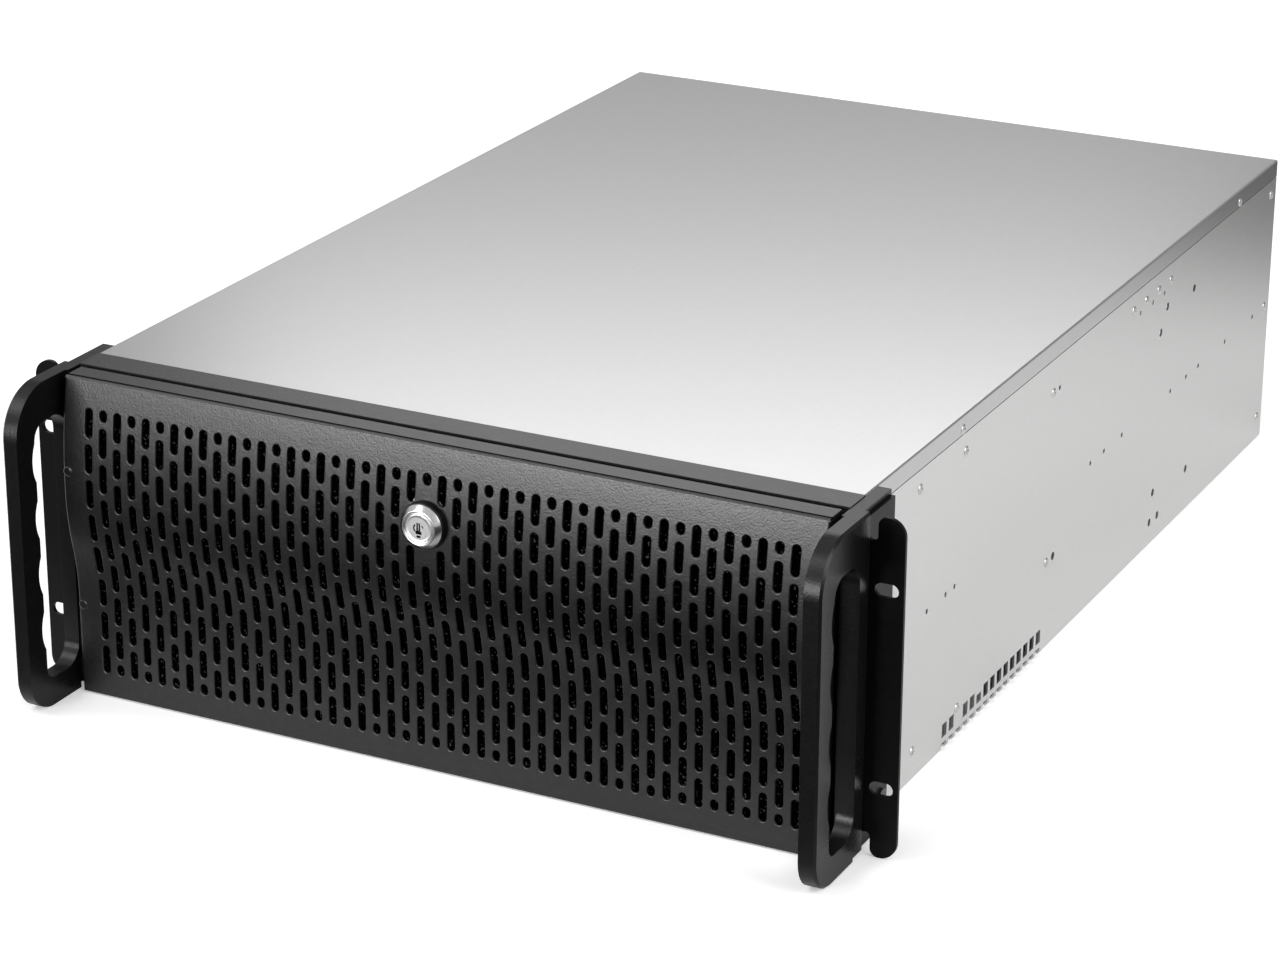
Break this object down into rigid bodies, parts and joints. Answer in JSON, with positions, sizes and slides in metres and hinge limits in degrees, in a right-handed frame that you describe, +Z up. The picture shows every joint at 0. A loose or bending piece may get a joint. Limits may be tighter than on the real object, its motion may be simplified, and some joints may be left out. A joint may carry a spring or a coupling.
{
  "type": "rackmount server case",
  "caption": "Empty rackmount server case with a wavy slotted drop-down door, cam lock, side handles and rack ears.",
  "frame": {"origin": "middle of the floor under the whole case, handles and ears included", "axes": "+X right as seen from the front, +Y from the front door to the rear panel, +Z up"},
  "size_m": [0.4826, 0.681, 0.176],
  "materials": {
    "galvanised": "galvanised sheet, satin with faint grain",
    "cover_steel": "galvanised sheet, satin",
    "black_powder": "fine-grained satin black powder coat",
    "black_plastic": "satin black moulded plastic",
    "foam": "open-cell black foam, matt",
    "chrome": "bright nickel-chrome plate",
    "plated_steel": "zinc-plated, satin",
    "black_screw": "black-oxide screw heads",
    "lens": "clear diffusing plastic",
    "brass": "turned, satin"
  },
  "bodies": {
    "chassis": {"chassis_tray": "galvanised", "rear_panel": "galvanised", "top_cover": "cover_steel", "front_frame": "black_powder", "control_block": "black_plastic", "bus_port_1": "plated_steel", "bus_port_2": "plated_steel", "status_lamps": "lens", "handle_right": "black_plastic", "handle_left": "black_plastic", "ear_right": "black_powder", "ear_left": "black_powder", "cage_left": "galvanised", "cage_middle": "galvanised", "cage_right": "galvanised", "fan_wall": "galvanised", "top_brace": "galvanised", "standoffs": "brass", "side_screws": "plated_steel", "cover_screws": "plated_steel", "ear_screws": "black_screw", "blank_screws": "plated_steel", "hinge_pins": "plated_steel", "slot_blank_1": "galvanised", "slot_blank_2": "galvanised", "slot_blank_3": "galvanised", "slot_blank_4": "galvanised", "slot_blank_5": "galvanised", "slot_blank_6": "galvanised", "slot_blank_7": "galvanised"},
    "door": {"front_door": "black_powder", "filter_mat": "foam", "filter_strip_right": "black_powder", "filter_strip_left": "black_powder", "lock_barrel": "chrome", "lock_ring": "black_plastic", "lock_nut": "plated_steel", "door_screws": "black_screw"},
    "lock_rotor": {"lock_plug": "chrome", "lock_cam": "plated_steel", "cam_nut": "plated_steel"},
    "power_button_body": {"power_button": "black_plastic"},
    "reset_button_body": {"reset_button": "black_plastic"}
  },
  "joints": [
    {"name": "door_hinge", "type": "hinge", "parent": "chassis", "child": "door", "pos_m": [0, -0.2971, 0.009], "axis": [1, 0, 0], "range_deg": [0, 80]},
    {"name": "lock_turn", "type": "hinge", "parent": "door", "child": "lock_rotor", "pos_m": [0, -0.2985, 0.1356], "axis": [0, -1, 0], "range_deg": [0, 90]},
    {"name": "power_press", "type": "slide", "parent": "chassis", "child": "power_button_body", "axis": [0, 1, 0], "range_m": [0, 0.0015], "stiffness_N_per_m": 400},
    {"name": "reset_press", "type": "slide", "parent": "chassis", "child": "reset_button_body", "axis": [0, 1, 0], "range_m": [0, 0.0015], "stiffness_N_per_m": 300}
  ]
}
